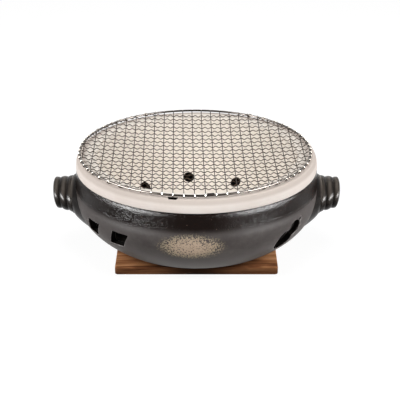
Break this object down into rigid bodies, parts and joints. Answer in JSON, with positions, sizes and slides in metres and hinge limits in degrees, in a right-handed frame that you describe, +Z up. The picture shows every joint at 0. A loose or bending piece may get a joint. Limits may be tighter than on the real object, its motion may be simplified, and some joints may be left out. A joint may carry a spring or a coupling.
{
  "type": "charcoal brazier",
  "caption": "Round tabletop charcoal brazier: dark stoneware bowl with ribbed handles on a wooden board, with a pale fire bowl hung in it and a woven wire net on top.",
  "frame": {"origin": "middle of the underside of the board, on the surface that the part stands on", "axes": "+Z up, +X to the right along the line of the two handles, front towards -Y, where the sprayed patch is"},
  "size_m": [0.3618, 0.306, 0.1257],
  "materials": {
    "board_wood": "dark stained softwood board, satin, grain running left to right",
    "bowl_glaze": "dark stoneware, satin grey-black glaze below, glossy black glaze on the collar, one sprayed beige patch in front",
    "handle_glaze": "satin grey-black glaze over ribbed clay",
    "fireclay": "matt pale refractory fireclay, unglazed, finely granular",
    "net_wire": "bright galvanised steel wire"
  },
  "bodies": {
    "board": {"board": "board_wood"},
    "bowl": {"outer_bowl": "bowl_glaze", "handle_left": "handle_glaze", "handle_right": "handle_glaze"},
    "fire_bowl": {"fire_bowl": "fireclay"},
    "net": {"net_rim": "net_wire", "net_long_wire_01": "net_wire", "net_long_wire_02": "net_wire", "net_long_wire_03": "net_wire", "net_long_wire_04": "net_wire", "net_long_wire_05": "net_wire", "net_long_wire_06": "net_wire", "net_long_wire_07": "net_wire", "net_long_wire_08": "net_wire", "net_long_wire_09": "net_wire", "net_long_wire_10": "net_wire", "net_long_wire_11": "net_wire", "net_long_wire_12": "net_wire", "net_long_wire_13": "net_wire", "net_long_wire_14": "net_wire", "net_long_wire_15": "net_wire", "net_long_wire_16": "net_wire", "net_long_wire_17": "net_wire", "net_long_wire_18": "net_wire", "net_long_wire_19": "net_wire", "net_long_wire_20": "net_wire", "net_long_wire_21": "net_wire", "net_long_wire_22": "net_wire", "net_long_wire_23": "net_wire", "net_cross_wire_01": "net_wire", "net_cross_wire_02": "net_wire", "net_cross_wire_03": "net_wire", "net_cross_wire_04": "net_wire", "net_cross_wire_05": "net_wire", "net_cross_wire_06": "net_wire", "net_cross_wire_07": "net_wire", "net_cross_wire_08": "net_wire", "net_cross_wire_09": "net_wire", "net_cross_wire_10": "net_wire", "net_cross_wire_11": "net_wire", "net_cross_wire_12": "net_wire", "net_cross_wire_13": "net_wire", "net_cross_wire_14": "net_wire", "net_cross_wire_15": "net_wire", "net_cross_wire_16": "net_wire", "net_cross_wire_17": "net_wire", "net_cross_wire_18": "net_wire", "net_cross_wire_19": "net_wire", "net_cross_wire_20": "net_wire", "net_cross_wire_21": "net_wire"}
  },
  "joints": [
    {"name": "bowl_lift", "type": "slide", "parent": "board", "child": "bowl", "axis": [0, 0, 1], "range_m": [0, 0.06]},
    {"name": "fire_bowl_lift", "type": "slide", "parent": "bowl", "child": "fire_bowl", "axis": [0, 0, 1], "range_m": [0, 0.11]},
    {"name": "net_lift", "type": "slide", "parent": "fire_bowl", "child": "net", "axis": [0, 0, 1], "range_m": [0, 0.05]}
  ]
}
